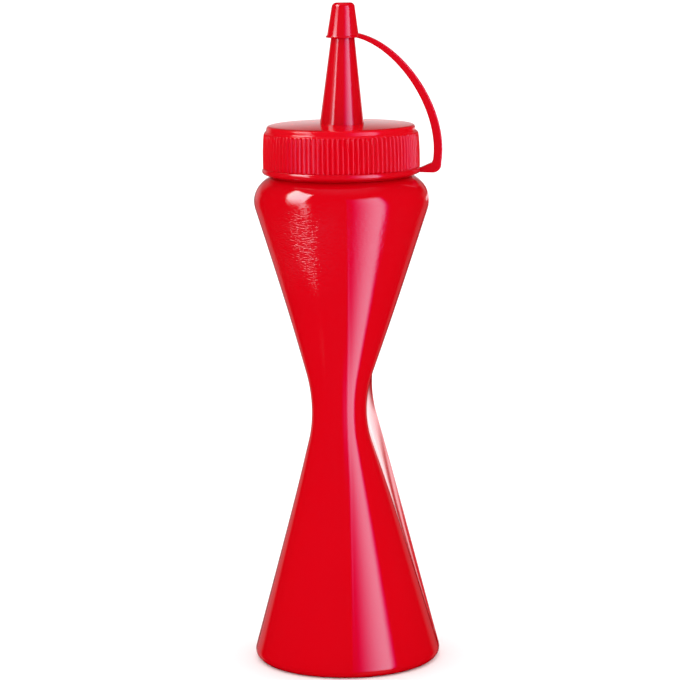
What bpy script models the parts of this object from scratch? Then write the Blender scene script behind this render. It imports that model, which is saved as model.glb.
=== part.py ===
"""A squeeze bottle with a pinched waist, a ribbed screw cap with a nozzle, and a tethered tip cap.

Metres, +Z up. The origin is the middle of the flat base. The body is pinched from left and
right only: seen from the front (-Y) its outline is an hourglass, seen from the side it is
nearly straight. The strap of the tip cap lies in the XZ plane, on the +X side.
"""

from math import acos, asin, atan, cos, exp, hypot, pi, radians, sin, sqrt, tan

import bmesh
import bpy
from mathutils import Vector

MM = 0.001
GAP = 0.3 * MM

# Bottle body
BASE_RADIUS = 32.7 * MM
HEEL_ROUND = 2.9 * MM
SHOULDER_RADIUS = 30.6 * MM
SHOULDER_HEIGHT = 163.5 * MM
SHOULDER_REACH = 12.15 * MM  # the shoulder's round is part of an ellipse, this wide
SHOULDER_RISE = 9.95 * MM  # and this high
WAIST_HEIGHT = 95.3 * MM
WAIST_HALF_WIDTH = 7.55 * MM  # where the two straight outlines would cross, before rounding
WAIST_ROUND = 40.5 * MM
WAIST_SHIFT = -0.6 * MM  # the pinch lies this much off the middle
WAIST_SHIFT_SPREAD = 22.0 * MM
WAIST_BULGE = 3.0 * MM  # the front and back swell out a little where the sides go in
WAIST_BULGE_SPREAD = 30.0 * MM
FLANK_RECESS = 0.17  # how far each side is dished between the front and the back lobe
LOBE_FLATTENING = 0.1  # the lobes are this much flatter than round at the waist
LOBE_FLATTENING_SPREAD = 16.0 * MM
NECK_RADIUS = 24.0 * MM
NECK_TOP = 186.9 * MM
BODY_SIDES = 80

# Screw cap: a ribbed skirt below a plain raised disc, with the nozzle in its middle
SKIRT_BOTTOM = 175.3 * MM
SKIRT_TOP = 188.1 * MM
SKIRT_RADIUS_BOTTOM = 27.2 * MM
SKIRT_RADIUS_TOP = 26.9 * MM
SKIRT_CHAMFER = 0.8 * MM
RIB_COUNT = 96
RIB_DEPTH = 0.35 * MM
RIB_CREST = 0.12  # half widths of a rib's crest and foot, as shares of the spacing
RIB_FOOT = 0.30
RIB_END = 0.6 * MM  # height over which a rib runs out at its upper end
CAVITY_RADIUS = 24.35 * MM
CAVITY_TOP = 187.2 * MM
DISC_RADIUS = 25.9 * MM
DISC_TOP = 189.5 * MM
DISC_ROUND = 0.5 * MM
DISC_CROWN = 0.7 * MM  # the disc rises this much from its edge to its middle
DISC_CROWN_STEPS = 3
NOZZLE_FOOT_RADIUS = 7.75 * MM
NOZZLE_TAPER = 0.1194
NOZZLE_END = 223.4 * MM
NOZZLE_OFFSET = 0.35 * MM  # the nozzle stands a little toward the strap
NOZZLE_LEAN = 0.024  # and leans that way
DISC_SIDES = 96
NOZZLE_SIDES = 44
CAVITY_SIDES = 56

# Tether: a ring below the skirt, the strap and the tip cap, moulded in one
RING_BOTTOM = 172.75 * MM
RING_EDGE = 174.05 * MM  # height of its widest line
RING_TOP = 175.0 * MM
RING_RADIUS = 27.65 * MM
RING_FOOT_RADIUS = 25.2 * MM
RING_BORE = 24.4 * MM
TIP_BOTTOM = 219.8 * MM
TIP_TOP = 231.8 * MM
TIP_RADIUS_BOTTOM = 5.45 * MM
TIP_RADIUS_TOP = 4.05 * MM
TIP_ROUND = 1.7 * MM
BRIM_RADIUS = 5.95 * MM
BRIM_THICKNESS = 0.7 * MM
RING_BLUNT = 0.35 * MM
STRAP_WIDTH = 4.0 * MM
STRAP_THIN = 1.5 * MM
STRAP_THICK = 3.05 * MM
STRAP_THICK_FROM = 0.85  # share of its length where it reaches full thickness
STRAP_EDGE = 0.4 * MM
STRAP_START = (4.6 * MM, 220.75 * MM)  # in the wall of the tip cap
STRAP_END = (33.3 * MM, 176.9 * MM)  # above the bend at the foot
STRAP_START_SLOPE = radians(8.8)
STRAP_START_REACH = 15.6 * MM
STRAP_END_SLOPE = radians(9.0)
STRAP_END_REACH = 18.6 * MM
STRAP_STEPS = 26
TAB_RADIUS = 25.6 * MM  # where the strap's tab starts, inside the ring
TAB_BOTTOM = 172.85 * MM
TAB_THICKNESS = 1.8 * MM
TAB_SLOPE = 0.3 * MM  # its underside rises this much toward the ring
BEND_CUT = (0.4 * MM, 0.8 * MM)  # blunts the inner corner where the strap turns into the tab
RING_SIDES = 88
TIP_SIDES = 48

RED_BODY = (0.70, 0.0010, 0.0060, 1.0)
RED_CAP = (0.72, 0.0012, 0.0075, 1.0)
BODY_ROUGHNESS = 0.22
CAP_ROUGHNESS = 0.30


def clear_scene():
    for obj in list(bpy.data.objects):
        bpy.data.objects.remove(obj, do_unlink=True)


def plastic(name, colour, roughness):
    material = bpy.data.materials.new(name)
    material.use_nodes = True
    shader = material.node_tree.nodes["Principled BSDF"]
    shader.inputs["Base Color"].default_value = colour
    shader.inputs["Roughness"].default_value = roughness
    shader.inputs["Metallic"].default_value = 0.0
    return material


def object_from(bm, name):
    """A scene object that holds the mesh, with its normals facing out."""
    bmesh.ops.recalc_face_normals(bm, faces=bm.faces)
    mesh = bpy.data.meshes.new(name)
    bm.to_mesh(mesh)
    bm.free()
    obj = bpy.data.objects.new(name, mesh)
    bpy.context.scene.collection.objects.link(obj)
    return obj


def finish_smooth(obj, material, crease=35.0):
    obj.data.materials.clear()
    obj.data.materials.append(material)
    obj.data.shade_smooth()
    obj.data.set_sharp_from_angle(angle=radians(crease))


def loft(name, rings):
    """A closed skin through rings of equally many points, with a flat end at each end."""
    bm = bmesh.new()
    loops = [[bm.verts.new(point) for point in ring] for ring in rings]
    count = len(loops[0])
    for lower, upper in zip(loops, loops[1:]):
        for i in range(count):
            j = (i + 1) % count
            bm.faces.new((lower[i], lower[j], upper[j], upper[i]))
    bm.faces.new(list(reversed(loops[0])))
    bm.faces.new(loops[-1])
    return object_from(bm, name)


def turned(name, profile, sides):
    """A turned piece: (radius, height) points from its axis, round its outside, back to its axis."""
    bm = bmesh.new()
    points = [bm.verts.new((radius, 0.0, height)) for radius, height in profile]
    edges = [bm.edges.new(pair) for pair in zip(points, points[1:])]
    if profile[0][0] > 0.0:
        edges.append(bm.edges.new((points[-1], points[0])))
    bmesh.ops.spin(
        bm, geom=points + edges, cent=(0.0, 0.0, 0.0), axis=(0.0, 0.0, 1.0),
        angle=2.0 * pi, steps=sides, use_duplicate=False,
    )
    bmesh.ops.remove_doubles(bm, verts=bm.verts, dist=1e-6)
    return object_from(bm, name)


def combine(obj, other, operation):
    """Joins the other object to this one, or cuts it away, and removes the other."""
    modifier = obj.modifiers.new(operation.title(), "BOOLEAN")
    modifier.operation = operation
    modifier.solver = "EXACT"
    modifier.object = other
    graph = bpy.context.evaluated_depsgraph_get()
    result = bpy.data.meshes.new_from_object(obj.evaluated_get(graph))
    obj.modifiers.clear()
    obj.data = result
    bpy.data.objects.remove(other, do_unlink=True)


def arc(centre_radius, centre_height, radius, start, end, steps):
    """Points on an arc of a profile, its angles in degrees from the outward direction."""
    angles = [radians(start + (end - start) * i / steps) for i in range(steps + 1)]
    return [
        (centre_radius + radius * cos(a), centre_height + radius * sin(a)) for a in angles
    ]


def tangent_lean(run, rise, radius):
    """The lean of a line that touches a circle from outside, from its offset to the centre."""
    return atan(run / rise) + asin(radius / hypot(run, rise))


def lower_lean():
    """The lean of the lower flank, which touches the heel's round."""
    run = BASE_RADIUS - HEEL_ROUND - WAIST_HALF_WIDTH
    return tangent_lean(run, WAIST_HEIGHT - HEEL_ROUND, HEEL_ROUND)


SHOULDER_STRETCH = SHOULDER_REACH / SHOULDER_RISE  # makes a circle of the shoulder's ellipse
SHOULDER_CENTRE = SHOULDER_RADIUS - SHOULDER_REACH
SHOULDER_TURN = tangent_lean(
    SHOULDER_CENTRE - WAIST_HALF_WIDTH,
    (SHOULDER_HEIGHT - WAIST_HEIGHT) * SHOULDER_STRETCH,
    SHOULDER_REACH,
)
LOWER_LEAN = lower_lean()
UPPER_LEAN = atan(tan(SHOULDER_TURN) * SHOULDER_STRETCH)
WAIST_CENTRE_RISE = (
    (WAIST_ROUND / cos(LOWER_LEAN) - WAIST_ROUND / cos(UPPER_LEAN))
    / (tan(LOWER_LEAN) + tan(UPPER_LEAN))
)
WAIST_CENTRE_HEIGHT = WAIST_HEIGHT + WAIST_CENTRE_RISE
WAIST_CENTRE_WIDTH = (
    WAIST_HALF_WIDTH - WAIST_CENTRE_RISE * tan(LOWER_LEAN) + WAIST_ROUND / cos(LOWER_LEAN)
)
HEEL_TOP = HEEL_ROUND * (1.0 + sin(LOWER_LEAN))
WAIST_START = WAIST_CENTRE_HEIGHT - WAIST_ROUND * sin(LOWER_LEAN)
WAIST_STOP = WAIST_CENTRE_HEIGHT + WAIST_ROUND * sin(UPPER_LEAN)
SHOULDER_START = SHOULDER_HEIGHT - SHOULDER_RISE * sin(SHOULDER_TURN)
SHOULDER_END = acos((NECK_RADIUS - SHOULDER_CENTRE) / SHOULDER_REACH)


def heel_radius(height):
    return BASE_RADIUS - HEEL_ROUND + sqrt(max(HEEL_ROUND ** 2 - (HEEL_ROUND - height) ** 2, 0.0))


def shoulder_radius(height):
    share = min((height - SHOULDER_HEIGHT) / SHOULDER_RISE, 1.0)
    return SHOULDER_CENTRE + SHOULDER_REACH * sqrt(1.0 - share ** 2)


def near_waist(height, spread):
    """One at the waist, falling off smoothly above and below it."""
    return exp(-((height - WAIST_HEIGHT) / spread) ** 2)


def half_width(height):
    """Half of the lobes' width, left to right: the hourglass seen from the front."""
    if height <= HEEL_TOP:
        return heel_radius(height)
    if height <= WAIST_START:
        return WAIST_HALF_WIDTH + (WAIST_HEIGHT - height) * tan(LOWER_LEAN)
    if height <= WAIST_STOP:
        return WAIST_CENTRE_WIDTH - sqrt(WAIST_ROUND ** 2 - (height - WAIST_CENTRE_HEIGHT) ** 2)
    if height <= SHOULDER_START:
        return WAIST_HALF_WIDTH + (height - WAIST_HEIGHT) * tan(UPPER_LEAN)
    return shoulder_radius(height)


def half_depth(height):
    """Half of the body's depth: a taper from heel to shoulder that swells at the waist."""
    if height <= HEEL_ROUND:
        return heel_radius(height)
    if height > SHOULDER_HEIGHT:
        return shoulder_radius(height)
    share = (height - HEEL_ROUND) / (SHOULDER_HEIGHT - HEEL_ROUND)
    taper = BASE_RADIUS + share * (SHOULDER_RADIUS - BASE_RADIUS)
    return taper + WAIST_BULGE * near_waist(height, WAIST_BULGE_SPREAD)


def quarter_section(height, steps=64):
    """Fine points of a quarter of a section, from its side (+X) to its front (-Y).

    The front is a rounded lobe, and the side is dished a little between it and the back one.
    """
    depth = half_depth(height)
    lobe = min(half_width(height), depth)
    width = lobe * (1.0 - FLANK_RECESS * (1.0 - lobe / depth))
    nose = lobe * (1.0 - LOBE_FLATTENING * near_waist(height, LOBE_FLATTENING_SPREAD))
    reach = depth - nose
    points = []
    for i in range(steps):
        along = i / steps
        blend = along * along * (3.0 - 2.0 * along)
        points.append((width + (lobe - width) * blend, -reach * along))
    for i in range(steps + 1):
        angle = 0.5 * pi * i / steps
        points.append((lobe * cos(angle), -reach - nose * sin(angle)))
    return points


def section(height, sides):
    """Points of the body's section, evenly spaced along it, counter-clockwise from the +X side."""
    quarter = quarter_section(height)
    lengths = [0.0]
    for (x0, y0), (x1, y1) in zip(quarter, quarter[1:]):
        lengths.append(lengths[-1] + hypot(x1 - x0, y1 - y0))
    even = []
    place = 0
    for i in range(sides // 4 + 1):
        target = lengths[-1] * i / (sides // 4)
        while place < len(lengths) - 2 and lengths[place + 1] < target:
            place += 1
        span = lengths[place + 1] - lengths[place]
        share = (target - lengths[place]) / span if span > 0.0 else 0.0
        (x0, y0), (x1, y1) = quarter[place], quarter[place + 1]
        even.append((x0 + share * (x1 - x0), y0 + share * (y1 - y0)))
    front_right = even
    front_left = [(-x, y) for x, y in reversed(even[:-1])]
    back_left = [(x, -y) for x, y in reversed(front_left[:-1])]
    back_right = [(x, -y) for x, y in reversed(front_right[1:])]
    outline = front_right + front_left + back_left + back_right
    shift = WAIST_SHIFT * near_waist(height, WAIST_SHIFT_SPREAD)
    return [Vector((x + shift, y, height)) for x, y in reversed(outline)]


def spaced(start, end, count):
    return [start + (end - start) * i / count for i in range(1, count + 1)]


def body_heights():
    """Heights of the sections, closest together where the outline bends."""
    heel = [HEEL_ROUND * (1.0 - cos(0.5 * pi * i / 4)) for i in range(5)]
    shoulder = [
        SHOULDER_HEIGHT + SHOULDER_RISE * sin(-SHOULDER_TURN + (SHOULDER_END + SHOULDER_TURN) * i / 9)
        for i in range(10)
    ]
    return (
        heel + [HEEL_TOP] + spaced(HEEL_TOP, WAIST_START, 5)
        + spaced(WAIST_START, WAIST_STOP, 8) + spaced(WAIST_STOP, SHOULDER_START, 4)
        + shoulder[1:]
    )


def make_bottle():
    """The shut, opaque bottle, with the plain neck that goes up inside the screw cap."""
    rings = [section(height, BODY_SIDES) for height in body_heights()]
    top = rings[-1]
    rings.append([Vector((p.x, p.y, NECK_TOP)) for p in top])
    return loft("bottle", rings)


def ribbed_ring(radius, depth, height):
    """A ring of the skirt: each rib is a flat crest and a flat valley with sloping sides."""
    ring = []
    for rib in range(RIB_COUNT):
        for edge in (-RIB_FOOT, -RIB_CREST, RIB_CREST, RIB_FOOT):
            angle = 2.0 * pi * (rib + edge) / RIB_COUNT
            reach = radius if abs(edge) == RIB_CREST else radius - depth
            ring.append(Vector((reach * cos(angle), reach * sin(angle), height)))
    return ring


def make_skirt():
    """The ribbed skirt, its ribs running out at the top, and the chamfer above them."""
    def radius_at(height):
        share = (height - SKIRT_BOTTOM) / (SKIRT_TOP - SKIRT_BOTTOM)
        return SKIRT_RADIUS_BOTTOM + share * (SKIRT_RADIUS_TOP - SKIRT_RADIUS_BOTTOM)

    high = SKIRT_TOP - SKIRT_CHAMFER
    rings = (
        ribbed_ring(radius_at(SKIRT_BOTTOM), RIB_DEPTH, SKIRT_BOTTOM),
        ribbed_ring(radius_at(high - RIB_END), RIB_DEPTH, high - RIB_END),
        ribbed_ring(radius_at(high) - 0.5 * RIB_DEPTH, 0.0, high),
        ribbed_ring(radius_at(SKIRT_TOP) - SKIRT_CHAMFER, 0.0, SKIRT_TOP),
    )
    return loft("screw_cap", rings)


def nozzle_radius(height):
    return NOZZLE_FOOT_RADIUS - NOZZLE_TAPER * (height - DISC_TOP)


def lean(obj):
    """Moves the nozzle, or what sits on it, onto the nozzle's own leaning axis."""
    for vertex in obj.data.vertices:
        vertex.co.x += NOZZLE_OFFSET + NOZZLE_LEAN * max(vertex.co.z - DISC_TOP, 0.0)


def make_disc():
    """The plain disc on the skirt: a small round on its edge, and a slightly crowned top."""
    buried = SKIRT_TOP - 2.0 * SKIRT_CHAMFER
    flat = DISC_RADIUS - DISC_ROUND
    rim = arc(flat, DISC_TOP - DISC_ROUND, DISC_ROUND, 0.0, 90.0, 3)
    shares = [1.0 - i / DISC_CROWN_STEPS for i in range(1, DISC_CROWN_STEPS + 1)]
    crown = [(flat * share, DISC_TOP + DISC_CROWN * (1.0 - share ** 2)) for share in shares]
    return turned(
        "disc",
        [(0.0, buried), (flat, buried), (DISC_RADIUS, SKIRT_TOP)] + rim + crown,
        DISC_SIDES,
    )


def make_nozzle():
    """The tapered nozzle, which stands on the disc with a plain corner round its foot."""
    nozzle = turned(
        "nozzle",
        [
            (0.0, SKIRT_TOP), (nozzle_radius(SKIRT_TOP), SKIRT_TOP),
            (nozzle_radius(NOZZLE_END), NOZZLE_END), (0.0, NOZZLE_END),
        ],
        NOZZLE_SIDES,
    )
    lean(nozzle)
    return nozzle


def make_screw_cap():
    """Skirt, disc and nozzle, hollow below for the neck. The nozzle's bore can't be seen."""
    cap = make_skirt()
    combine(cap, make_disc(), "UNION")
    combine(cap, make_nozzle(), "UNION")
    below = SKIRT_BOTTOM - SKIRT_CHAMFER
    cavity = turned(
        "cavity",
        [(0.0, below), (CAVITY_RADIUS, below), (CAVITY_RADIUS, CAVITY_TOP), (0.0, CAVITY_TOP)],
        CAVITY_SIDES,
    )
    combine(cap, cavity, "DIFFERENCE")
    return cap


def strap_centre(share):
    """A point and a direction of the strap's middle line, in the XZ plane."""
    x0, z0 = STRAP_START
    x3, z3 = STRAP_END
    x1 = x0 + STRAP_START_REACH * cos(STRAP_START_SLOPE)
    z1 = z0 - STRAP_START_REACH * sin(STRAP_START_SLOPE)
    x2 = x3 + STRAP_END_REACH * sin(STRAP_END_SLOPE)
    z2 = z3 + STRAP_END_REACH * cos(STRAP_END_SLOPE)
    rest = 1.0 - share
    x = rest ** 3 * x0 + 3 * rest ** 2 * share * x1 + 3 * rest * share ** 2 * x2 + share ** 3 * x3
    z = rest ** 3 * z0 + 3 * rest ** 2 * share * z1 + 3 * rest * share ** 2 * z2 + share ** 3 * z3
    dx = rest ** 2 * (x1 - x0) + 2 * rest * share * (x2 - x1) + share ** 2 * (x3 - x2)
    dz = rest ** 2 * (z1 - z0) + 2 * rest * share * (z2 - z1) + share ** 2 * (z3 - z2)
    length = hypot(dx, dz)
    return (x, z), (dx / length, dz / length)


def strap_thickness(share):
    """Thin where the strap leaves the tip cap, thick from the middle on."""
    ease = min(share / STRAP_THICK_FROM, 1.0)
    return STRAP_THIN + (STRAP_THICK - STRAP_THIN) * (1.0 - (1.0 - ease) ** 1.5)


def strap_outline():
    """The strap seen from the front: its two edges, the bend at the foot and the tab."""
    outer = []
    inner = []
    for i in range(STRAP_STEPS + 1):
        share = i / STRAP_STEPS
        (x, z), (dx, dz) = strap_centre(share)
        half = 0.5 * strap_thickness(share)
        outer.append((x - dz * half, z + dx * half))
        inner.append((x + dz * half, z - dx * half))
    corner = inner[-1]
    bend = STRAP_THICK
    foot = arc(outer[-1][0] - bend, TAB_BOTTOM + bend, bend, -8.0, -90.0, 5)
    tab = [
        (TAB_RADIUS, TAB_BOTTOM + TAB_SLOPE),
        (TAB_RADIUS, TAB_BOTTOM + TAB_THICKNESS),
        (RING_RADIUS, TAB_BOTTOM + TAB_THICKNESS),
        (corner[0] - BEND_CUT[0], corner[1] - BEND_CUT[1]),
    ]
    return outer + foot + tab + list(reversed(inner))


def make_strap():
    """The outline drawn out to the strap's width, with its long edges bevelled."""
    half = 0.5 * STRAP_WIDTH
    outline = strap_outline()
    bm = bmesh.new()
    near = bm.faces.new([bm.verts.new((x, -half, z)) for x, z in outline])
    drawn = bmesh.ops.extrude_face_region(bm, geom=[near])
    far = [item for item in drawn["geom"] if isinstance(item, bmesh.types.BMVert)]
    bmesh.ops.translate(bm, verts=far, vec=(0.0, STRAP_WIDTH, 0.0))
    bm.verts.ensure_lookup_table()
    rim = [
        edge for edge in bm.edges
        if abs(edge.verts[0].co.y - edge.verts[1].co.y) < 1e-9
    ]
    bmesh.ops.bevel(
        bm, geom=rim, offset=STRAP_EDGE, segments=1, profile=0.5, affect="EDGES",
    )
    return object_from(bm, "strap")


def make_tip_cap():
    """The small cap on the nozzle, with a brim and a socket that clears the nozzle."""
    brim_top = TIP_BOTTOM + BRIM_THICKNESS
    edge = 0.3 * BRIM_THICKNESS
    profile = (
        [(0.0, TIP_BOTTOM), (BRIM_RADIUS - edge, TIP_BOTTOM), (BRIM_RADIUS, TIP_BOTTOM + edge)]
        + [(BRIM_RADIUS - edge, brim_top), (TIP_RADIUS_BOTTOM, brim_top)]
        + arc(TIP_RADIUS_TOP - TIP_ROUND, TIP_TOP - TIP_ROUND, TIP_ROUND, 8.0, 90.0, 5)
        + [(0.0, TIP_TOP)]
    )
    tip = turned("tip_cap", profile, TIP_SIDES)
    below = TIP_BOTTOM - BRIM_THICKNESS
    ceiling = NOZZLE_END + GAP
    socket = turned(
        "socket",
        [
            (0.0, below), (nozzle_radius(below) + GAP, below),
            (nozzle_radius(ceiling) + GAP, ceiling), (0.0, ceiling),
        ],
        NOZZLE_SIDES,
    )
    lean(tip)
    lean(socket)
    return tip, socket


def make_ring():
    """The ring round the neck: a blunt edge, and an underside that slopes in to the neck."""
    blunt = RING_BLUNT
    profile = [
        (RING_BORE, RING_BOTTOM),
        (RING_FOOT_RADIUS, RING_BOTTOM),
        (RING_RADIUS - blunt, RING_EDGE - 2.0 * blunt),
        (RING_RADIUS, RING_EDGE),
        (RING_RADIUS - blunt, RING_TOP - 0.5 * blunt),
        (RING_RADIUS - 2.0 * blunt, RING_TOP),
        (RING_BORE, RING_TOP),
    ]
    return turned("ring", profile, RING_SIDES)


def make_tether():
    """Ring, strap and tip cap, joined, with the nozzle's socket cut last."""
    tether, socket = make_tip_cap()
    combine(tether, make_strap(), "UNION")
    combine(tether, make_ring(), "UNION")
    combine(tether, socket, "DIFFERENCE")
    return tether


def main():
    clear_scene()
    body_plastic = plastic("bottle_plastic", RED_BODY, BODY_ROUGHNESS)
    cap_plastic = plastic("cap_plastic", RED_CAP, CAP_ROUGHNESS)
    bottle = make_bottle()
    finish_smooth(bottle, body_plastic)
    cap = make_screw_cap()
    finish_smooth(cap, cap_plastic, crease=20.0)
    tether = make_tether()
    tether.name = "tip_cap"
    finish_smooth(tether, cap_plastic)


main()
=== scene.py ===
"""Looks for a red squeeze bottle with a pinched waist, a ribbed screw cap and a tethered tip cap.

Each sub-assembly is a class that holds its sizes in millimetres and builds its own meshes. The
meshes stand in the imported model's own frame: +Z up, the origin in the middle of the base, the
front at -Y and the strap on the +X side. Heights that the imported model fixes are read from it.
"""

import logging
from dataclasses import dataclass, field
from enum import Enum
from math import acos, asin, atan, cos, exp, hypot, pi, radians, sin, sqrt, tan
from typing import Callable, Iterable, Sequence

import bmesh
import bpy
import numpy as np
from mathutils import Matrix, Vector

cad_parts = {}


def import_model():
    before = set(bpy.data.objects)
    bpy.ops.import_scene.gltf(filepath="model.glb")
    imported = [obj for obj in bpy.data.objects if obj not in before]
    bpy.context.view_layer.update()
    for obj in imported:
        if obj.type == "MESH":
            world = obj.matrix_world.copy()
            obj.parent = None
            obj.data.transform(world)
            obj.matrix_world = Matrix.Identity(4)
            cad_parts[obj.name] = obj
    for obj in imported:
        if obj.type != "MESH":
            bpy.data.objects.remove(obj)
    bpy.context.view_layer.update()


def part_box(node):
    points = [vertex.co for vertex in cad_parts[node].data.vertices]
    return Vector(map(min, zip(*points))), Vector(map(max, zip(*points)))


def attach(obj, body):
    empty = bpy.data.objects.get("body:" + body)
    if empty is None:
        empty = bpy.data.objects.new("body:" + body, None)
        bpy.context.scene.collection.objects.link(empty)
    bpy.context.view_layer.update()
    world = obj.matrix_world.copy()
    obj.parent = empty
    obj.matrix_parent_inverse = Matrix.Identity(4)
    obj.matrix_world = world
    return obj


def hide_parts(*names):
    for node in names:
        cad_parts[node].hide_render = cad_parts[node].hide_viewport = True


MM = 0.001
BODY = "root"
SHARP_ANGLE = radians(42.0)
DEGREES_PER_RADIAN = 180.0 / pi
log = logging.getLogger("squeeze_bottle")

Point = tuple[float, float, float]
Flat = tuple[float, float]
Colour = tuple[float, float, float]
Span = tuple[float, float, float, float]


class Surface(Enum):
    """How a plastic face was formed, which sets the relief that its gloss shows."""

    BLOWN = "blown"
    MOULDED = "moulded"


@dataclass(frozen=True)
class RedPlastic:
    """A red polyethylene finish: its colour, its gloss and the relief that the mould left.

    The colour drifts down to dark_share of itself in blotches of shade_size, and the roughness
    by roughness_spread either way in blotches of gloss_size.

    Sizes and heights of the relief are in millimetres. On a blown face fine wrinkles, longer
    across than tall, lie between the four heights of wrinkle_band: they rise from the first to
    the second and die away from the third to the fourth. Likewise wrinkle_side holds the four
    places across the front between which they are strong. Elsewhere wrinkle_rest of them is left.
    Where they are strong, the face is rougher too, by about half of frost.
    """

    name: str
    colour: Colour
    roughness: float
    roughness_spread: float
    surface: Surface
    ripple_size: float
    ripple_height: float
    grain_size: float = 0.6
    grain_height: float = 0.001
    tint: Colour = (0.6, 0.55, 1.0)
    dark_share: float = 0.95
    shade_size: Flat = (18.0, 18.0)
    shade_detail: float = 2.0
    gloss_size: Flat = (9.0, 9.0)
    gloss_detail: float = 3.0
    relief_detail: float = 1.0
    grain_detail: float = 2.0
    wrinkle_size: Flat = (1.4, 0.45)
    wrinkle_height: float = 0.31
    wrinkle_band: Span = (130.0, 150.0, 157.0, 168.0)
    wrinkle_side: Span = (-24.0, -17.0, -9.0, 3.0)
    wrinkle_rest: float = 0.22
    frost: float = 0.16

    def material(self) -> bpy.types.Material:
        """Builds the material.

        Returns:
            The node material of this finish.
        """
        material = bpy.data.materials.new(self.name)
        material.use_nodes = True
        nodes = material.node_tree.nodes
        links = material.node_tree.links
        shader = nodes["Principled BSDF"]
        shader.inputs["IOR"].default_value = 1.5
        shader.inputs["Metallic"].default_value = 0.0
        shader.inputs["Specular Tint"].default_value = (*self.tint, 1.0)
        place = nodes.new("ShaderNodeTexCoord").outputs["Object"]
        shade = nodes.new("ShaderNodeMixRGB")
        shade.inputs["Color1"].default_value = (*self.colour, 1.0)
        shade.inputs["Color2"].default_value = (*(self.dark_share * c for c in self.colour), 1.0)
        shades = self._noise(material, place, self.shade_size, self.shade_detail)
        links.new(shades, shade.inputs["Fac"])
        links.new(shade.outputs["Color"], shader.inputs["Base Color"])
        gloss = nodes.new("ShaderNodeMapRange")
        gloss.inputs["To Min"].default_value = self.roughness - self.roughness_spread
        gloss.inputs["To Max"].default_value = self.roughness + self.roughness_spread
        blotches = self._noise(material, place, self.gloss_size, self.gloss_detail)
        links.new(blotches, gloss.inputs["Value"])
        rough = gloss.outputs["Result"]
        if self.surface is Surface.BLOWN:
            frosted = nodes.new("ShaderNodeMath")
            frosted.operation = "MULTIPLY_ADD"
            links.new(self._faded(material, place, blotches), frosted.inputs[0])
            frosted.inputs[1].default_value = self.frost
            links.new(rough, frosted.inputs[2])
            rough = frosted.outputs[0]
        links.new(rough, shader.inputs["Roughness"])
        links.new(self._relief(material, place), shader.inputs["Normal"])
        return material

    def _relief(
        self, material: bpy.types.Material, place: bpy.types.NodeSocket
    ) -> bpy.types.NodeSocket:
        """Lays the finish's relief in layers, coarse ripple first.

        Args:
            material: The material that gets the nodes.
            place: The socket with the place on the object.

        Returns:
            The socket with the bumped normal.
        """
        size = (self.ripple_size, self.ripple_size)
        ripple = self._noise(material, place, size, self.relief_detail)
        normal = self._bump(material, ripple, self.ripple_height, None)
        if self.surface is Surface.BLOWN:
            wrinkles = self._noise(material, place, self.wrinkle_size, self.relief_detail)
            faded = self._faded(material, place, wrinkles)
            normal = self._bump(material, faded, self.wrinkle_height, normal)
        size = (self.grain_size, self.grain_size)
        grain = self._noise(material, place, size, self.grain_detail)
        return self._bump(material, grain, self.grain_height, normal)

    def _faded(
        self,
        material: bpy.types.Material,
        place: bpy.types.NodeSocket,
        pattern: bpy.types.NodeSocket,
    ) -> bpy.types.NodeSocket:
        """Lets a pattern die away below the shoulder, toward the waist and to the right.

        Args:
            material: The material that gets the nodes.
            place: The socket with the place on the object.
            pattern: The pattern at its full strength.

        Returns:
            The socket with the fading pattern.
        """
        nodes, links = material.node_tree.nodes, material.node_tree.links
        split = nodes.new("ShaderNodeSeparateXYZ")
        links.new(place, split.inputs[0])
        strong = pattern
        for axis, span, rest in (("Z", self.wrinkle_band, 0.0), ("X", self.wrinkle_side, 1.0)):
            for start, stop in (span[:2], span[:1:-1]):
                fade = nodes.new("ShaderNodeMapRange")
                fade.interpolation_type = "SMOOTHSTEP"
                fade.inputs["From Min"].default_value = start * MM
                fade.inputs["From Max"].default_value = stop * MM
                fade.inputs["To Min"].default_value = rest * self.wrinkle_rest
                links.new(split.outputs[axis], fade.inputs["Value"])
                both = nodes.new("ShaderNodeMath")
                both.operation = "MULTIPLY"
                links.new(strong, both.inputs[0])
                links.new(fade.outputs["Result"], both.inputs[1])
                strong = both.outputs[0]
        return strong

    @staticmethod
    def _noise(
        material: bpy.types.Material, place: bpy.types.NodeSocket, size: Flat, detail: float
    ) -> bpy.types.NodeSocket:
        """Adds a noise over the object.

        Args:
            material: The material that gets the nodes.
            place: The socket with the place on the object.
            size: The width and height of one blotch, in millimetres.
            detail: Octaves of finer noise in it.

        Returns:
            The socket with the noise's value, from 0 to 1.
        """
        nodes, links = material.node_tree.nodes, material.node_tree.links
        scaled = nodes.new("ShaderNodeMapping")
        across, tall = (1.0 / (side * MM) for side in size)
        scaled.inputs["Scale"].default_value = (across, across, tall)
        links.new(place, scaled.inputs["Vector"])
        noise = nodes.new("ShaderNodeTexNoise")
        noise.inputs["Scale"].default_value = 1.0
        noise.inputs["Detail"].default_value = detail
        links.new(scaled.outputs["Vector"], noise.inputs["Vector"])
        return noise.outputs["Fac"]

    @staticmethod
    def _bump(
        material: bpy.types.Material,
        height: bpy.types.NodeSocket,
        distance: float,
        normal: bpy.types.NodeSocket | None,
    ) -> bpy.types.NodeSocket:
        """Adds a bump.

        Args:
            material: The material that gets the node.
            height: The socket with the height, from 0 to 1.
            distance: How high 1 is, in millimetres.
            normal: The normal that it is laid on, or None.

        Returns:
            The socket with the bumped normal.
        """
        bump = material.node_tree.nodes.new("ShaderNodeBump")
        bump.inputs["Distance"].default_value = distance * MM
        material.node_tree.links.new(height, bump.inputs["Height"])
        if normal is not None:
            material.node_tree.links.new(normal, bump.inputs["Normal"])
        return bump.outputs["Normal"]


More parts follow.
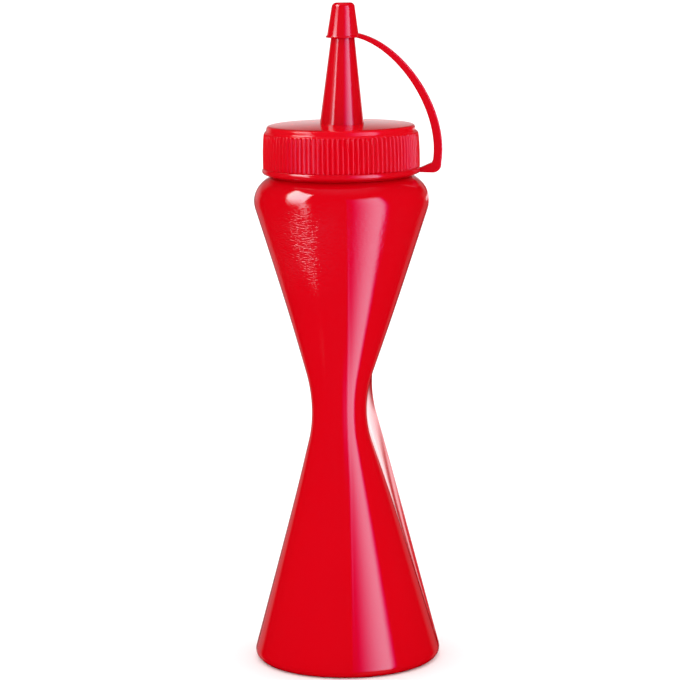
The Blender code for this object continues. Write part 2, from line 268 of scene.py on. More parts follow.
BLOWN_RED = RedPlastic(
    "blown_red", (0.585, 0.0002, 0.0045), 0.09, 0.015, Surface.BLOWN, 6.0, 0.012
)
MOULDED_RED = RedPlastic(
    "moulded_red", (0.585, 0.0002, 0.0050), 0.13, 0.02, Surface.MOULDED, 9.0, 0.012
)
RIBBED_RED = RedPlastic(
    "ribbed_red", (0.65, 0.0002, 0.0055), 0.15, 0.02, Surface.MOULDED, 9.0, 0.008,
    tint=(0.5, 0.36, 0.68),
)


def arc(centre: Flat, radii: Flat, start: float, end: float, steps: int) -> list[Flat]:
    """Points on an arc of a turned profile.

    Args:
        centre: Its centre, as (radius, height).
        radii: Its half-axes outward and upward.
        start: The first angle, in degrees from outward.
        end: The last angle.
        steps: How many pieces the arc is cut into.

    Returns:
        The points, first to last, as (radius, height).
    """
    angles = (radians(start + (end - start) * i / steps) for i in range(steps + 1))
    return [(centre[0] + radii[0] * cos(a), centre[1] + radii[1] * sin(a)) for a in angles]


def smooth_line(points: Sequence[Flat], steps: int) -> list[Flat]:
    """A smooth curve through the given points of a profile.

    Args:
        points: The points, as (radius, height).
        steps: How many pieces the curve has between two of them.

    Returns:
        The curve's points, first to last.
    """
    known = [Vector(point) for point in (points[0], *points, points[-1])]
    curve = []
    for before, first, last, after in zip(known, known[1:], known[2:], known[3:]):
        for i in range(steps):
            t = i / steps
            bend = (2.0 * before - 5.0 * first + 4.0 * last - after) * t
            twist = (3.0 * (first - last) + after - before) * t * t
            curve.append(tuple(first + 0.5 * t * (last - before + bend + twist)))
    return curve + [tuple(points[-1])]


def linked(name: str, bm: bmesh.types.BMesh) -> bpy.types.Object:
    """Makes a scene object of a mesh, smooth but for its sharp corners.

    Args:
        name: The object's name.
        bm: The mesh, which is used up.

    Returns:
        The object.
    """
    bmesh.ops.recalc_face_normals(bm, faces=bm.faces)
    mesh = bpy.data.meshes.new(name)
    bm.to_mesh(mesh)
    bm.free()
    mesh.shade_smooth()
    mesh.set_sharp_from_angle(angle=SHARP_ANGLE)
    obj = bpy.data.objects.new(name, mesh)
    bpy.context.scene.collection.objects.link(obj)
    return obj


def skin(name: str, rings: Sequence[Sequence[Point]], closed: bool = False) -> bpy.types.Object:
    """A skin through rings of equally many points.

    Args:
        name: The object's name.
        rings: The rings, each a list of points in millimetres; a ring of one point closes an end.
        closed: Whether the last ring is joined to the first.

    Returns:
        The object, in metres.
    """
    bm = bmesh.new()
    loops = [[bm.verts.new(Vector(point) * MM) for point in ring] for ring in rings]
    pairs = list(zip(loops, loops[1:]))
    if closed:
        pairs.append((loops[-1], loops[0]))
    for lower, upper in pairs:
        count = max(len(lower), len(upper))
        for i in range(count):
            j = (i + 1) % count
            corners = [lower[i % len(lower)], lower[j % len(lower)]]
            corners += [upper[j % len(upper)], upper[i % len(upper)]]
            bm.faces.new(list(dict.fromkeys(corners)))
    if not closed:
        for end in (loops[0], loops[-1]):
            if len(end) > 1:
                bm.faces.new(end)
    return linked(name, bm)


def turned(
    name: str,
    profile: Sequence[Flat],
    sides: int,
    shift: Callable[[float], float] = lambda height: 0.0,
    closed: bool = False,
) -> bpy.types.Object:
    """A turned piece.

    Args:
        name: The object's name.
        profile: Its outline as (radius, height) in millimetres, from end to end.
        sides: Points around it.
        shift: How far its axis is moved to +X at a height.
        closed: Whether the outline's end is joined to its start, as in a ring.

    Returns:
        The object.
    """
    angles = [2.0 * pi * i / sides for i in range(sides)]
    rings = []
    for radius, height in profile:
        offset = shift(height)
        if radius <= 0.0:
            rings.append([(offset, 0.0, height)])
        else:
            rings.append([(offset + radius * cos(a), radius * sin(a), height) for a in angles])
    return skin(name, rings, closed)


def dress(
    obj: bpy.types.Object, finish: RedPlastic, node: str, materials: dict[str, bpy.types.Material]
) -> None:
    """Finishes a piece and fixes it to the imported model.

    Args:
        obj: The piece.
        finish: The plastic that it is made of.
        node: The solid that it stands for.
        materials: The materials built so far, by name.
    """
    if finish.name not in materials:
        materials[finish.name] = finish.material()
    obj.data.materials.append(materials[finish.name])
    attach(obj, BODY)
    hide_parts(node)
    log.info("%s: %d faces, %s", obj.name, len(obj.data.polygons), finish.name)


@dataclass
class BottleBody:
    """The blown bottle: round at base and shoulder, pinched between, with a mould seam."""

    node: str = "bottle"
    finish: RedPlastic = BLOWN_RED
    base_radius: float = 32.7
    heel_round: float = 2.9
    shoulder_radius: float = 30.6
    shoulder_height: float = 163.5
    shoulder_reach: float = 12.15
    shoulder_rise: float = 9.95
    neck_radius: float = 24.0
    waist_height: float = 95.3
    waist_half_width: float = 7.55
    waist_round: float = 40.5
    waist_shift: float = -0.6
    shift_spread: float = 22.0
    waist_bulge: float = 2.9
    bulge_spread: float = 30.0
    flank_recess: float = 0.23
    lobe_flattening: float = 0.1
    flattening_spread: float = 16.0
    seam_turn: float = -5.35
    seam_height: float = 0.07
    seam_width: float = 0.35
    seam_free_share: float = 0.2
    base_dish: float = 1.2
    base_land: float = 5.0
    dish_shares: Sequence[float] = (0.3, 0.55, 0.75, 0.88, 0.96, 1.0)
    sides: int = 360
    heel_steps: int = 10
    flank_rings: int = 150
    shoulder_rings: int = 40
    neck_top: float = field(init=False)
    centre: float = field(init=False)
    stretch: float = field(init=False)
    turn: float = field(init=False)
    lower: float = field(init=False)
    upper: float = field(init=False)
    round_height: float = field(init=False)
    round_width: float = field(init=False)
    heel_top: float = field(init=False)
    waist_start: float = field(init=False)
    waist_stop: float = field(init=False)
    shoulder_start: float = field(init=False)
    shoulder_end: float = field(init=False)

    def __post_init__(self) -> None:
        """Works out the leans of the flanks and the waist's round from the driving sizes."""
        self.neck_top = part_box(self.node)[1].z / MM
        self.centre = self.shoulder_radius - self.shoulder_reach
        self.stretch = self.shoulder_reach / self.shoulder_rise
        self.turn = self._tangent(
            self.centre - self.waist_half_width,
            (self.shoulder_height - self.waist_height) * self.stretch,
            self.shoulder_reach,
        )
        self.lower = self._tangent(
            self.base_radius - self.heel_round - self.waist_half_width,
            self.waist_height - self.heel_round,
            self.heel_round,
        )
        self.upper = atan(tan(self.turn) * self.stretch)
        rise = (self.waist_round / cos(self.lower) - self.waist_round / cos(self.upper)) / (
            tan(self.lower) + tan(self.upper)
        )
        self.round_height = self.waist_height + rise
        self.round_width = (
            self.waist_half_width - rise * tan(self.lower) + self.waist_round / cos(self.lower)
        )
        self.heel_top = self.heel_round * (1.0 + sin(self.lower))
        self.waist_start = self.round_height - self.waist_round * sin(self.lower)
        self.waist_stop = self.round_height + self.waist_round * sin(self.upper)
        self.shoulder_start = self.shoulder_height - self.shoulder_rise * sin(self.turn)
        self.shoulder_end = acos((self.neck_radius - self.centre) / self.shoulder_reach)

    @staticmethod
    def _tangent(run: float, rise: float, radius: float) -> float:
        """The lean of a line that touches a circle from outside."""
        return atan(run / rise) + asin(radius / hypot(run, rise))

    def _near_waist(self, height: float, spread: float) -> float:
        """One at the waist, falling off smoothly above and below it."""
        return exp(-(((height - self.waist_height) / spread) ** 2))

    def _heel(self, height: float) -> float:
        """The radius of the heel's round at a height."""
        drop = self.heel_round - height
        return self.base_radius - self.heel_round + sqrt(max(self.heel_round**2 - drop**2, 0.0))

    def _shoulder(self, height: float) -> float:
        """The radius of the shoulder's ellipse at a height."""
        share = min((height - self.shoulder_height) / self.shoulder_rise, 1.0)
        return self.centre + self.shoulder_reach * sqrt(1.0 - share**2)

    def half_width(self, height: float) -> float:
        """The hourglass that shows from the front.

        Args:
            height: Height above the base.

        Returns:
            Half of the front lobe's width, left to right.
        """
        if height <= self.heel_top:
            return self._heel(height)
        if height <= self.waist_start:
            return self.waist_half_width + (self.waist_height - height) * tan(self.lower)
        if height <= self.waist_stop:
            drop = height - self.round_height
            return self.round_width - sqrt(self.waist_round**2 - drop**2)
        if height <= self.shoulder_start:
            return self.waist_half_width + (height - self.waist_height) * tan(self.upper)
        return self._shoulder(height)

    def half_depth(self, height: float) -> float:
        """The gentler outline that shows from the side.

        Args:
            height: Height above the base.

        Returns:
            Half of the depth, front to back.
        """
        if height <= self.heel_round:
            return self._heel(height)
        if height > self.shoulder_height:
            return self._shoulder(height)
        share = (height - self.heel_round) / (self.shoulder_height - self.heel_round)
        taper = self.base_radius + share * (self.shoulder_radius - self.base_radius)
        return taper + self.waist_bulge * self._near_waist(height, self.bulge_spread)

    def _quarter(self, height: float, steps: int = 200) -> np.ndarray:
        """Fine points of a quarter of the section: the dished side, then the front's lobe.

        Args:
            height: Height above the base.
            steps: Points on each of the two parts.

        Returns:
            The points, from the middle of the side to the front's crest.
        """
        depth = self.half_depth(height)
        lobe = min(self.half_width(height), depth)
        middle = lobe * (1.0 - self.flank_recess * (1.0 - lobe / depth))
        flat = self.lobe_flattening * self._near_waist(height, self.flattening_spread)
        nose = lobe * (1.0 - flat)
        reach = depth - nose
        along = np.arange(steps) / steps
        side = np.column_stack((middle + (lobe - middle) * along**2, reach * along))
        angle = np.linspace(0.0, 0.5 * pi, steps + 1)
        front = np.column_stack((lobe * np.cos(angle), reach + nose * np.sin(angle)))
        return np.vstack((side, front))

    def section(self, height: float) -> list[Point]:
        """The outline at a height, evenly spaced, with the two mould seams raised on it.

        Args:
            height: Height above the base.

        Returns:
            The points, counter-clockwise from the +X side.
        """
        quarter = self._quarter(height)
        steps = np.hypot(*np.diff(quarter, axis=0).T)
        lengths = np.concatenate(([0.0], np.cumsum(steps)))
        even = np.linspace(0.0, lengths[-1], self.sides // 4 + 1)
        xs = np.interp(even, lengths, quarter[:, 0])
        ys = np.interp(even, lengths, quarter[:, 1])
        east = np.column_stack((xs, ys))
        north = np.column_stack((-xs[::-1], ys[::-1]))[1:]
        half = np.vstack((east, north))
        full = self._raise_seam(np.vstack((half, -half[1:-1])))
        shift = self.waist_shift * self._near_waist(height, self.shift_spread)
        return [(x + shift, y, height) for x, y in full]

    def _raise_seam(self, outline: np.ndarray) -> np.ndarray:
        """Lifts the outline a little along the mould's parting line, front and back.

        Args:
            outline: The section's points.

        Returns:
            The points with the two seams raised.
        """
        turn = radians(self.seam_turn)
        across = outline[:, 0] * cos(turn) - outline[:, 1] * sin(turn)
        lift = self.seam_height * np.exp(-((across / self.seam_width) ** 2))
        depth = np.abs(outline[:, 1])
        lift *= depth > self.seam_free_share * depth.max()
        reach = np.hypot(outline[:, 0], outline[:, 1])
        return outline * (1.0 + lift / reach)[:, None]

    def heights(self) -> list[float]:
        """Heights of the sections, closest together where the outline bends.

        Returns:
            The heights, from the base to the neck.
        """
        heel = [
            self.heel_round * (1.0 - cos(0.5 * pi * i / self.heel_steps))
            for i in range(self.heel_steps + 1)
        ]
        flanks = np.linspace(self.heel_top, self.shoulder_start, self.flank_rings)
        turns = np.linspace(-self.turn, self.shoulder_end, self.shoulder_rings)
        shoulder = [self.shoulder_height + self.shoulder_rise * sin(t) for t in turns[1:]]
        return heel + list(flanks) + shoulder

    def _base(self) -> list[list[Point]]:
        """Rings of the underside: a shallow dish inside the land that the bottle stands on.

        Returns:
            The rings, from the middle outward.
        """
        rim = self.base_radius - self.heel_round
        rings = [[(0.0, 0.0, self.base_dish)]]
        for share in self.dish_shares:
            rise = self.base_dish * (1.0 - share**4)
            rings.append(self._circle((rim - self.base_land) * share, rise))
        rings.append(self._circle(rim - 0.5 * self.base_land, 0.0))
        return rings

    def _circle(self, radius: float, height: float) -> list[Point]:
        """A ring that lines up with the sections' points."""
        angles = [2.0 * pi * i / self.sides for i in range(self.sides)]
        return [(radius * cos(a), radius * sin(a), height) for a in angles]

    def build(self, materials: dict[str, bpy.types.Material]) -> None:
        """Builds and dresses the bottle.

        Args:
            materials: The materials built so far, by name.
        """
        rings = self._base()
        rings += [self.section(height) for height in self.heights()]
        rings.append([(x, y, self.neck_top) for x, y, _ in rings[-1]])
        rings.append([(0.0, 0.0, self.neck_top)])
        dress(skin("bottle_body", rings), self.finish, self.node, materials)


@dataclass
class NozzleAxis:
    """The line that the nozzle and its tip cap stand on, leaning a little toward the strap."""

    offset: float = 0.35
    lean: float = 0.024
    foot: float = 189.5

    def shift(self, height: float) -> float:
        """How far the axis lies toward the strap at a height."""
        return self.offset + self.lean * max(height - self.foot, 0.0)


@dataclass
class ScrewCap:
    """The screw cap: a ribbed skirt, a softly crowned disc and a tapered nozzle."""

    axis: NozzleAxis
    node: str = "screw_cap"
    skirt_finish: RedPlastic = RIBBED_RED
    nozzle_finish: RedPlastic = MOULDED_RED
    rib_count: int = 96
    rib_points: int = 10
    rib_depth: float = 0.72
    rib_sharpness: float = 1.4
    rib_top: float = 187.25
    rib_run_out: float = 0.9
    skirt_bottom: float = 175.02
    skirt_edge: float = 0.12
    skirt_steps: int = 4
    rim_steps: int = 3
    skirt_wall: Sequence[Flat] = (
        (27.30, 175.12), (27.30, 178.0), (27.28, 180.7), (27.18, 183.0), (27.08, 184.9),
        (26.98, 186.0), (26.86, 186.7), (26.72, 187.1), (26.48, 187.42), (26.2, 187.7),
    )
    rim_wall: Sequence[Flat] = (
        (26.2, 187.7), (26.03, 188.0), (25.95, 188.4), (25.88, 188.8), (25.75, 189.15),
        (25.5, 189.43), (25.15, 189.56), (24.6, 189.63),
    )
    bore: float = 24.35
    bore_top: float = 187.2
    disc_crown: float = 0.62
    disc_inner: float = 0.6
    disc_rings: int = 14
    foot_radius: float = 7.75
    foot_height: float = 189.5
    taper: float = 0.1194
    nozzle_end: float = 223.4
    nozzle_sunk: float = 1.0
    nozzle_rings: int = 14
    nozzle_sides: int = 128

    def nozzle_radius(self, height: float) -> float:
        """The nozzle's radius at a height."""
        return self.foot_radius - self.taper * (height - self.foot_height)

    def _ribbed(self, radius: float, depth: float, height: float) -> list[Point]:
        """A ring of the skirt, with rounded crests and narrower valleys between them.

        Args:
            radius: The radius over the crests.
            depth: How deep the valleys are.
            height: The ring's height.

        Returns:
            The ring's points.
        """
        ring = []
        count = self.rib_count * self.rib_points
        for i in range(count):
            phase = 2.0 * pi * (i % self.rib_points) / self.rib_points
            angle = 2.0 * pi * i / count
            reach = radius - depth * (0.5 - 0.5 * cos(phase)) ** self.rib_sharpness
            ring.append((reach * cos(angle), reach * sin(angle), height))
        return ring

    def _rings(self) -> list[list[Point]]:
        """The rings of bore, ribbed skirt, rim and disc.

        Returns:
            The rings, from the top of the bore round the outside to the disc's middle.
        """
        rings: list[list[Point]] = [[(0.0, 0.0, self.bore_top)]]
        rings.append(self._ribbed(self.bore, 0.0, self.bore_top))
        rings.append(self._ribbed(self.bore, 0.0, self.skirt_bottom))
        foot = self.skirt_wall[0][0] - self.skirt_edge
        rings.append(self._ribbed(foot, self.rib_depth, self.skirt_bottom))
        skirt = smooth_line(self.skirt_wall, self.skirt_steps)
        rim = smooth_line(self.rim_wall, self.rim_steps)
        for radius, height in skirt + rim[1:]:
            share = min(max((self.rib_top - height) / self.rib_run_out, 0.0), 1.0)
            depth = self.rib_depth * share * (2.0 - share)
            rings.append(self._ribbed(radius, depth, height))
        edge, start = self.rim_wall[-1]
        inner = self.disc_inner * self.foot_radius
        for radius in np.linspace(edge, inner, self.disc_rings)[1:]:
            rise = self.disc_crown * (1.0 - (radius / edge) ** 2)
            rings.append(self._ribbed(radius, 0.0, start + rise))
        rings.append([(0.0, 0.0, start + self.disc_crown)])
        return rings

    def build(self, materials: dict[str, bpy.types.Material]) -> None:
        """Builds and dresses the skirt with its disc, and the nozzle.

        Args:
            materials: The materials built so far, by name.
        """
        dress(skin("cap_skirt", self._rings()), self.skirt_finish, self.node, materials)
        foot = self.foot_height - self.nozzle_sunk
        heights = np.linspace(foot, self.nozzle_end, self.nozzle_rings)
        profile = [(0.0, heights[0])]
        profile += [(self.nozzle_radius(z), z) for z in heights]
        profile.append((0.0, self.nozzle_end))
        nozzle = turned("nozzle", profile, self.nozzle_sides, self.axis.shift)
        dress(nozzle, self.nozzle_finish, self.node, materials)


@dataclass
class Tether:
    """The moulding that holds the tip cap: neck ring, strap and the cap itself."""

    axis: NozzleAxis
    cap: ScrewCap
    node: str = "tip_cap"
    finish: RedPlastic = MOULDED_RED
    gap: float = 0.3
    ring_bore: float = 24.4
    ring_wall: Sequence[Flat] = (
        (24.9, 172.05), (25.3, 172.22), (26.0, 172.6), (26.9, 172.95), (27.38, 173.27),
        (27.58, 173.7), (27.6, 174.1), (27.5, 174.5), (27.32, 174.85), (27.0, 175.05),
        (26.6, 175.12),
    )
    ring_radius: float = 27.55
    ring_rise: float = 0.2
    ring_steps: int = 3
    ring_sides: int = 288
    tip_bottom: float = 219.8
    tip_radius_bottom: float = 5.45
    tip_radius_top: float = 4.05
    tip_round: float = 1.7
    tip_flare: Flat = (0.12, 0.3)
    tip_sides: int = 128
    crown_angles: Flat = (8.0, 90.0)
    crown_steps: int = 12
    brim_radius: float = 5.95
    brim_thickness: float = 0.7
    brim_angles: Flat = (-90.0, 75.0)
    brim_steps: int = 8
    strap_width: float = 4.0
    strap_thin: float = 1.5
    strap_thick: float = 3.05
    strap_thick_from: float = 0.85
    strap_ease: float = 1.5
    strap_steps: int = 60
    strap_edge: float = 0.45
    strap_edge_share: float = 0.3
    corner_steps: int = 4
    strap_start: Flat = (4.6, 220.75)
    strap_end: Flat = (33.3, 176.9)
    strap_start_slope: float = 8.8
    strap_start_reach: float = 15.6
    strap_end_slope: float = 9.0
    strap_end_reach: float = 18.6
    tab_radius: float = 25.6
    tab_bottom: float = 172.85
    tab_thickness: float = 1.8
    tab_slope: float = 0.3
    tab_steps: int = 8
    bend_cut: Flat = (0.4, 0.8)
    bend_start: float = -8.0
    bend_sweep: float = 82.0
    bend_steps: int = 10

    def _ring(self) -> bpy.types.Object:
        """The ring round the neck, with a bulging edge.

        Returns:
            The piece.
        """
        wall = smooth_line(self.ring_wall, self.ring_steps)
        bore = [(self.ring_bore, wall[0][1] + self.ring_rise)]
        profile = bore + wall + [(self.ring_bore, wall[-1][1])]
        return turned("neck_ring", profile, self.ring_sides, closed=True)

    def _tip(self) -> bpy.types.Object:
        """The small cap with its thin brim, and the socket that takes the nozzle.

        Returns:
            The piece.
        """
        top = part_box(self.node)[1].z / MM
        brim_top = self.tip_bottom + self.brim_thickness
        edge = 0.5 * self.brim_thickness
        brim = arc(
            (self.brim_radius - edge, self.tip_bottom + edge), (edge, edge),
            *self.brim_angles, self.brim_steps,
        )
        crown = arc(
            (self.tip_radius_top - self.tip_round, top - self.tip_round),
            (self.tip_round, self.tip_round), *self.crown_angles, self.crown_steps,
        )
        ceiling = self.cap.nozzle_end + self.gap
        bore = [
            (0.0, ceiling), (self.cap.nozzle_radius(ceiling) + self.gap, ceiling),
            (self.cap.nozzle_radius(self.tip_bottom) + self.gap, self.tip_bottom),
        ]
        wider, higher = self.tip_flare
        neck = [
            (self.tip_radius_bottom + wider, brim_top),
            (self.tip_radius_bottom, brim_top + higher),
        ]
        profile = bore + brim + neck + crown + [(0.0, top)]
        return turned("tip_cap_shell", profile, self.tip_sides, self.axis.shift)

    def _centre(self, share: float) -> tuple[Vector, Vector]:
        """The strap's middle line, in the XZ plane.

        Args:
            share: How far along it, from 0 at the tip cap to 1 above the bend.

        Returns:
            A point on it and its direction there.
        """
        first, last = Vector(self.strap_start), Vector(self.strap_end)
        dip, lean = radians(self.strap_start_slope), radians(self.strap_end_slope)
        second = first + self.strap_start_reach * Vector((cos(dip), -sin(dip)))
        third = last + self.strap_end_reach * Vector((sin(lean), cos(lean)))
        rest = 1.0 - share
        point = rest**3 * first + 3 * rest**2 * share * second
        point += 3 * rest * share**2 * third + share**3 * last
        way = rest**2 * (second - first) + 2 * rest * share * (third - second)
        way += share**2 * (last - third)
        return point, way.normalized()

    def _thickness(self, share: float) -> float:
        """The strap's thickness: thin at the tip cap, thick from the middle on."""
        ease = min(share / self.strap_thick_from, 1.0)
        grown = 1.0 - (1.0 - ease) ** self.strap_ease
        return self.strap_thin + (self.strap_thick - self.strap_thin) * grown

    def _stations(self) -> list[tuple[Vector, Vector]]:
        """Points on the strap's two edges along strap, bend and tab, in the XZ plane.

        Returns:
            Pairs of an inner and an outer point.
        """
        pairs = []
        for i in range(self.strap_steps + 1):
            share = i / self.strap_steps
            point, way = self._centre(share)
            side = Vector((-way.y, way.x)) * 0.5 * self._thickness(share)
            pairs.append((point - side, point + side))
        corner = pairs[-1][0]
        bend = self.strap_thick
        centre = Vector((pairs[-1][1].x - bend, self.tab_bottom + bend))
        tab_top = self.tab_bottom + self.tab_thickness
        inner_end = corner - Vector(self.bend_cut)
        for i in range(1, self.bend_steps + 1):
            share = i / self.bend_steps
            angle = radians(self.bend_start - self.bend_sweep * share)
            outer = centre + bend * Vector((cos(angle), sin(angle)))
            pairs.append((corner.lerp(inner_end, share), outer))
        for i in range(1, self.tab_steps + 1):
            share = i / self.tab_steps
            inner = inner_end.lerp(Vector((self.ring_radius, tab_top)), share)
            reach = centre.x + (self.ring_radius - centre.x) * share
            pairs.append((inner, Vector((reach, self.tab_bottom + 0.5 * self.tab_slope * share))))
        inside = Vector((self.tab_radius, self.tab_bottom + self.tab_slope))
        pairs.append((Vector((self.tab_radius, tab_top)), inside))
        return pairs

    def _strap(self) -> bpy.types.Object:
        """The strap: a rounded rectangle swept along the stations.

        Returns:
            The piece.
        """
        half = 0.5 * self.strap_width
        rings = []
        for inner, outer in self._stations():
            thick = (outer - inner).length
            edge = min(self.strap_edge, self.strap_edge_share * thick)
            way = (outer - inner) / thick
            ring = []
            for cx, cy, start in ((1, 1, 0), (-1, 1, 90), (-1, -1, 180), (1, -1, 270)):
                for k in range(self.corner_steps + 1):
                    angle = radians(start + 90.0 * k / self.corner_steps)
                    along = cx * (0.5 * thick - edge) + edge * cos(angle)
                    across = cy * (half - edge) + edge * sin(angle)
                    spot = 0.5 * (inner + outer) + way * along
                    ring.append((spot.x, across, spot.y))
            rings.append(ring)
        return skin("strap", rings)

    def build(self, materials: dict[str, bpy.types.Material]) -> None:
        """Builds and dresses the ring, the strap and the tip cap.

        Args:
            materials: The materials built so far, by name.
        """
        for piece in (self._ring(), self._strap(), self._tip()):
            dress(piece, self.finish, self.node, materials)


# Tints of the light that the gloss shows. ROSE and LEAF make COOL where both shine, and the
# rim that only ROSE reaches is magenta, as the edge of the photograph's highlight is.
WHITE: Colour = (1.0, 1.0, 1.0)
COOL: Colour = (0.67, 1.24, 1.0)
ROSE: Colour = (0.67, 0.0, 1.0)
LEAF: Colour = (0.0, 1.24, 0.0)
PALE: Colour = (0.83, 1.6, 1.0)


@dataclass(frozen=True)
class Glow:
    """One bright patch of the studio, by its direction from the bottle, in degrees.

    Azimuth counts from the camera's side toward the strap's, elevation from level. Each fade is
    the width of the soft edge inside the span, first the low side, then the high one. The two
    leans move the low and the high azimuth with each degree of elevation above the span's start.
    """

    name: str
    azimuth: Flat
    elevation: Flat
    azimuth_fade: Flat
    elevation_fade: Flat
    strength: float
    colour: Colour = WHITE
    lean: Flat = (0.0, 0.0)


@dataclass
class Studio:
    """Floor, light and camera."""

    glows: Sequence[Glow] = (
        Glow("right_softbox", (5.0, 64.5), (-38.0, 45.0), (47.0, 12.0), (20.0, 11.0), 7.0, ROSE),
        Glow("right_softbox_core", (13.0, 61.5), (-38.0, 45.0), (39.0, 9.0), (20.0, 11.0), 7.0,
             LEAF),
        Glow("left_softbox", (-70.0, -48.0), (3.0, 57.0), (8.0, 3.0), (37.0, 3.0), 14.0,
             PALE, (-0.75, -0.14)),
        Glow("left_spill", (-60.0, -43.5), (-1.5, 18.0), (8.0, 4.0), (6.0, 10.0), 9.0, PALE),
        Glow("panel_behind", (165.5, 190.0), (-7.0, 12.5), (4.5, 4.0), (4.0, 10.0), 0.95),
        Glow("table_behind", (164.0, 178.0), (-11.0, 1.0), (4.0, 3.0), (2.5, 2.0), 1.7,
             WHITE, (-1.5, 0.0)),
        Glow("table_beside", (143.0, 153.5), (-5.5, 1.0), (3.0, 4.0), (1.5, 2.0), 1.7),
        Glow("back_left", (194.0, 226.0), (-30.0, 14.0), (5.0, 8.0), (10.0, 8.0), 0.27),
        Glow("back_right", (130.0, 160.0), (-30.0, 14.0), (10.0, 8.0), (10.0, 8.0), 0.15),
        Glow("edge_left", (185.0, 222.0), (-6.0, 32.0), (5.0, 14.0), (6.0, 16.0), 0.22),
        Glow("edge_right", (146.0, 172.0), (2.0, 26.0), (10.0, 5.0), (6.0, 12.0), 0.25),
        Glow("floor_right", (10.0, 85.0), (-75.0, -40.0), (20.0, 15.0), (20.0, 8.0), 0.25, COOL),
        Glow("ceiling", (-180.0, 270.0), (52.0, 90.0), (1.0, 1.0), (30.0, 0.5), 0.3),
    )
    soft_light: float = 1.4
    camera_side: float = -1.3
    camera_distance: float = 966.6
    camera_height: float = 275.0
    camera_turn: float = 2.8
    camera_tip: float = 9.46
    camera_roll: float = -0.762
    focal_pixels: float = 2789.5
    image_pixels: float = 680.0
    sensor: float = 36.0
    far_clip: float = 100.0
    floor_half: float = 12000.0
    floor_colour: Colour = (0.95, 0.95, 0.95)
    floor_roughness: float = 0.9

    def _floor(self) -> None:
        """Builds a plain pale floor, which the gloss doesn't show."""
        half = self.floor_half * MM
        mesh = bpy.data.meshes.new("floor")
        corners = [(-half, -half, 0.0), (half, -half, 0.0), (half, half, 0.0), (-half, half, 0.0)]
        mesh.from_pydata(corners, [], [(0, 1, 2, 3)])
        floor = bpy.data.objects.new("floor", mesh)
        bpy.context.scene.collection.objects.link(floor)
        material = bpy.data.materials.new("pale_floor")
        material.use_nodes = True
        shader = material.node_tree.nodes["Principled BSDF"]
        shader.inputs["Base Color"].default_value = (*self.floor_colour, 1.0)
        shader.inputs["Roughness"].default_value = self.floor_roughness
        shader.inputs["Specular IOR Level"].default_value = 0.0
        mesh.materials.append(material)
        floor.visible_glossy = False

    def _camera(self) -> None:
        """Builds the camera, at the place and angle that the photograph was taken from."""
        data = bpy.data.cameras.new("camera")
        data.sensor_width = self.sensor
        data.lens = self.focal_pixels / self.image_pixels * self.sensor
        data.clip_end = self.far_clip
        camera = bpy.data.objects.new("camera", data)
        angles = (self.camera_turn, self.camera_tip, self.camera_roll)
        turn, tip, roll = (radians(angle) for angle in angles)
        right = Vector((cos(turn), sin(turn), 0.0))
        level = Vector((-sin(turn), cos(turn), 0.0))
        up = Vector((0.0, 0.0, 1.0))
        place = right * self.camera_side - level * self.camera_distance + up * self.camera_height
        ahead = level * cos(tip) - up * sin(tip)
        upright = right.cross(ahead)
        rolled_right = right * cos(roll) + upright * sin(roll)
        rolled_up = upright * cos(roll) - right * sin(roll)
        axes = Matrix((rolled_right, rolled_up, -ahead)).transposed()
        camera.matrix_world = Matrix.Translation(place * MM) @ axes.to_4x4()
        bpy.context.scene.collection.objects.link(camera)
        bpy.context.scene.camera = camera

    def _world(self) -> None:
        """Builds the studio's surround, even to the eye, with patches for the gloss."""
        world = bpy.data.worlds.new("studio")
        bpy.context.scene.world = world
        world.use_nodes = True
        world.cycles.sampling_method = "NONE"
        SurroundTree(world.node_tree).build(self.glows, self.camera_turn, self.soft_light)

    def build(self) -> None:
        """Builds floor, light and camera, and sets plain colour handling."""
        self._floor()
        self._camera()
        self._world()
        view = bpy.context.scene.view_settings
        view.view_transform = "Standard"
        view.look = "None"


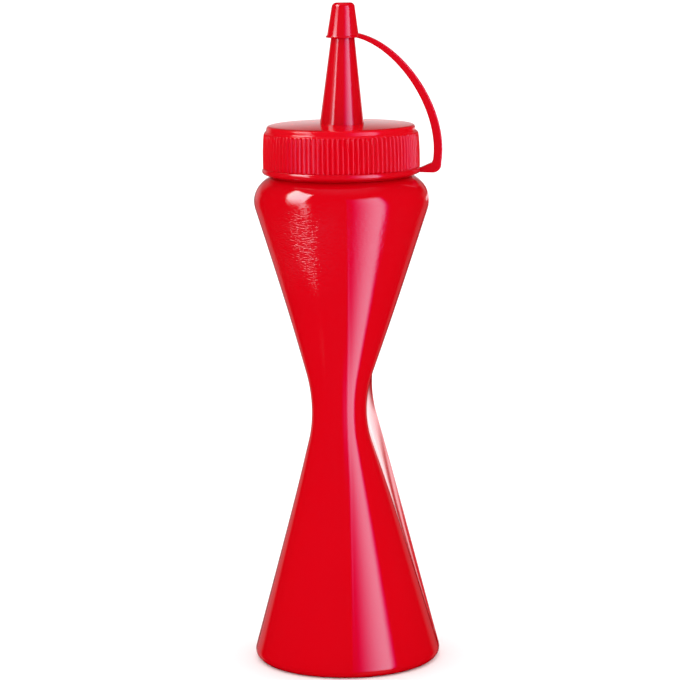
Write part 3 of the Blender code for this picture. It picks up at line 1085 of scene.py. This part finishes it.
@dataclass
class SurroundTree:
    """Builds the surround's node tree, with azimuths counted from azimuth_start once round."""

    tree: bpy.types.NodeTree
    azimuth_start: float = -105.0

    def _math(self, operation: str, *values: bpy.types.NodeSocket | float) -> bpy.types.NodeSocket:
        """Adds a math node.

        Args:
            operation: Its operation.
            values: The sockets or numbers that it works on.

        Returns:
            Its result's socket.
        """
        node = self.tree.nodes.new("ShaderNodeMath")
        node.operation = operation
        for slot, value in zip(node.inputs, values):
            if isinstance(value, (int, float)):
                slot.default_value = value
            else:
                self.tree.links.new(value, slot)
        return node.outputs[0]

    def _vector(
        self, operation: str, first: bpy.types.NodeSocket | Colour, second: bpy.types.NodeSocket
    ) -> bpy.types.NodeSocket:
        """Adds a node that scales a colour or adds another one to it.

        Args:
            operation: SCALE or ADD.
            first: The colour, or its socket.
            second: The socket with the scale or with the other colour.

        Returns:
            Its result's socket.
        """
        node = self.tree.nodes.new("ShaderNodeVectorMath")
        node.operation = operation
        if isinstance(first, tuple):
            node.inputs[0].default_value = first
        else:
            self.tree.links.new(first, node.inputs[0])
        self.tree.links.new(second, node.inputs["Scale" if operation == "SCALE" else 1])
        return node.outputs[0]

    def _ramp(self, value: bpy.types.NodeSocket, low: float, high: float) -> bpy.types.NodeSocket:
        """Adds a smooth rise.

        Args:
            value: The socket with the value.
            low: Where the rise is 0.
            high: Where it is 1.

        Returns:
            The socket with the rise.
        """
        node = self.tree.nodes.new("ShaderNodeMapRange")
        node.interpolation_type = "SMOOTHSTEP"
        self.tree.links.new(value, node.inputs["Value"])
        node.inputs["From Min"].default_value = low
        node.inputs["From Max"].default_value = high
        return node.outputs["Result"]

    def _patch(
        self, glow: Glow, azimuth: bpy.types.NodeSocket, elevation: bpy.types.NodeSocket
    ) -> bpy.types.NodeSocket:
        """Adds one patch.

        Args:
            glow: The patch.
            azimuth: The socket with a direction's azimuth.
            elevation: The socket with its elevation.

        Returns:
            The socket with the patch's light in that direction, as a colour.
        """
        above = self._math("SUBTRACT", elevation, glow.elevation[0])
        low, high = (
            self._math("SUBTRACT", azimuth, self._math("MULTIPLY", above, lean))
            for lean in glow.lean
        )
        sides = [
            self._ramp(low, glow.azimuth[0], glow.azimuth[0] + glow.azimuth_fade[0]),
            self._ramp(elevation, glow.elevation[0], glow.elevation[0] + glow.elevation_fade[0]),
        ]
        for value, end, fade in (
            (high, glow.azimuth[1], glow.azimuth_fade[1]),
            (elevation, glow.elevation[1], glow.elevation_fade[1]),
        ):
            sides.append(self._math("SUBTRACT", 1.0, self._ramp(value, end - fade, end)))
        product = self._math("MULTIPLY", sides[0], glow.strength)
        for side in sides[1:]:
            product = self._math("MULTIPLY", product, side)
        return self._vector("SCALE", glow.colour, product)

    def build(self, glows: Iterable[Glow], turn: float, soft_light: float) -> None:
        """Builds the tree.

        Args:
            glows: The bright patches that the gloss shows.
            turn: The camera's azimuth, which the patches count from.
            soft_light: The even light that everything but the gloss gets.
        """
        nodes, links = self.tree.nodes, self.tree.links
        nodes.clear()
        place = nodes.new("ShaderNodeTexCoord")
        split = nodes.new("ShaderNodeSeparateXYZ")
        links.new(place.outputs["Generated"], split.inputs[0])
        x, y, z = split.outputs
        front = self._math("ARCTAN2", x, self._math("MULTIPLY", y, -1.0))
        degrees = self._math("SUBTRACT", self._math("MULTIPLY", front, DEGREES_PER_RADIAN), turn)
        below = self._math("LESS_THAN", degrees, self.azimuth_start)
        turn_back = self._math("MULTIPLY", below, 360.0)
        azimuth = self._math("ADD", degrees, turn_back)
        elevation = self._math("MULTIPLY", self._math("ARCSINE", z), DEGREES_PER_RADIAN)
        path = nodes.new("ShaderNodeLightPath").outputs["Is Glossy Ray"]
        soft = self._math("MULTIPLY", self._math("SUBTRACT", 1.0, path), soft_light)
        total = self._vector("SCALE", WHITE, soft)
        for glow in glows:
            patch = self._vector("SCALE", self._patch(glow, azimuth, elevation), path)
            total = self._vector("ADD", total, patch)
            log.info("light %s", glow.name)
        background = nodes.new("ShaderNodeBackground")
        links.new(total, background.inputs["Color"])
        output = nodes.new("ShaderNodeOutputWorld")
        links.new(background.outputs[0], output.inputs["Surface"])


def main() -> None:
    """Builds the bottle's pieces and the studio."""
    logging.basicConfig(level=logging.INFO, format="%(message)s")
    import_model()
    materials: dict[str, bpy.types.Material] = {}
    axis = NozzleAxis()
    cap = ScrewCap(axis)
    BottleBody().build(materials)
    cap.build(materials)
    Tether(axis, cap).build(materials)
    Studio().build()


if __name__ == "__main__":
    main()
